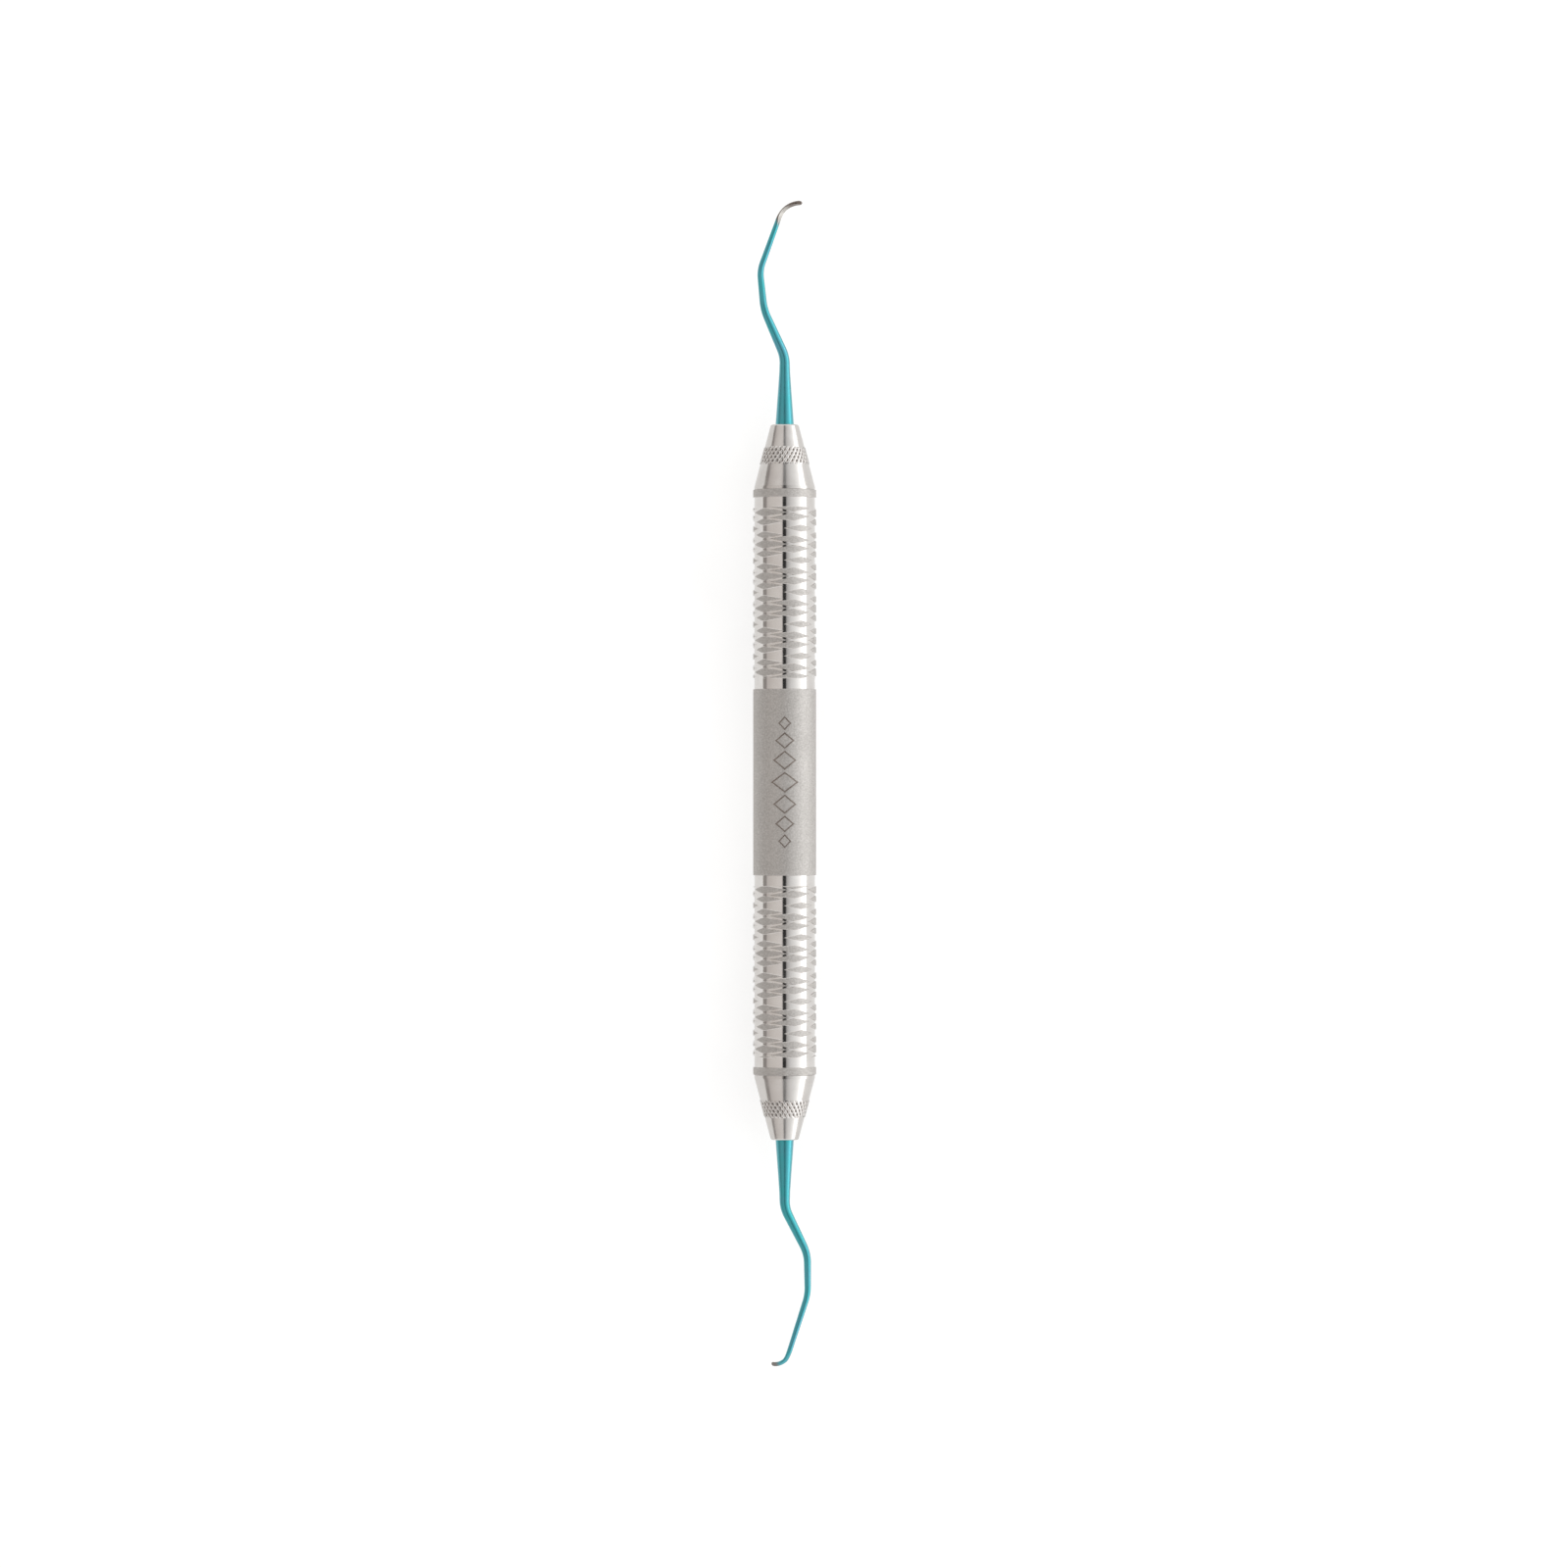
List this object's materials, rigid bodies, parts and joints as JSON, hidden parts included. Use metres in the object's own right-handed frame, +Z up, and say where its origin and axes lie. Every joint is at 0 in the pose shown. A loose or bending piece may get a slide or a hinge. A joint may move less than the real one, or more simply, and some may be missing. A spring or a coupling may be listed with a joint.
{
  "type": "hand scaler",
  "caption": "Double-ended dental scaler: hollow steel handle with lattice grips, knurled end cones and coated bent shanks ending in curved blades.",
  "frame": {"origin": "middle of the handle, on its axis, which is also the middle of the whole instrument", "axes": "+Y along the handle towards the upper end, +X to the right when seen from above, +Z up from the surface it lies on"},
  "size_m": [0.0094, 0.1758, 0.0094],
  "materials": {
    "handle_steel": "fine blasted steel with polished ground between the grip lands",
    "polished_steel": "turned and polished stainless steel",
    "teal_coating": "glossy teal metallic coating over steel, bare steel at the blade"
  },
  "bodies": {
    "root": {"handle_tube": "handle_steel", "upper_end_cone": "polished_steel", "lower_end_cone": "polished_steel", "upper_working_end": "teal_coating", "lower_working_end": "teal_coating"}
  },
  "joints": []
}
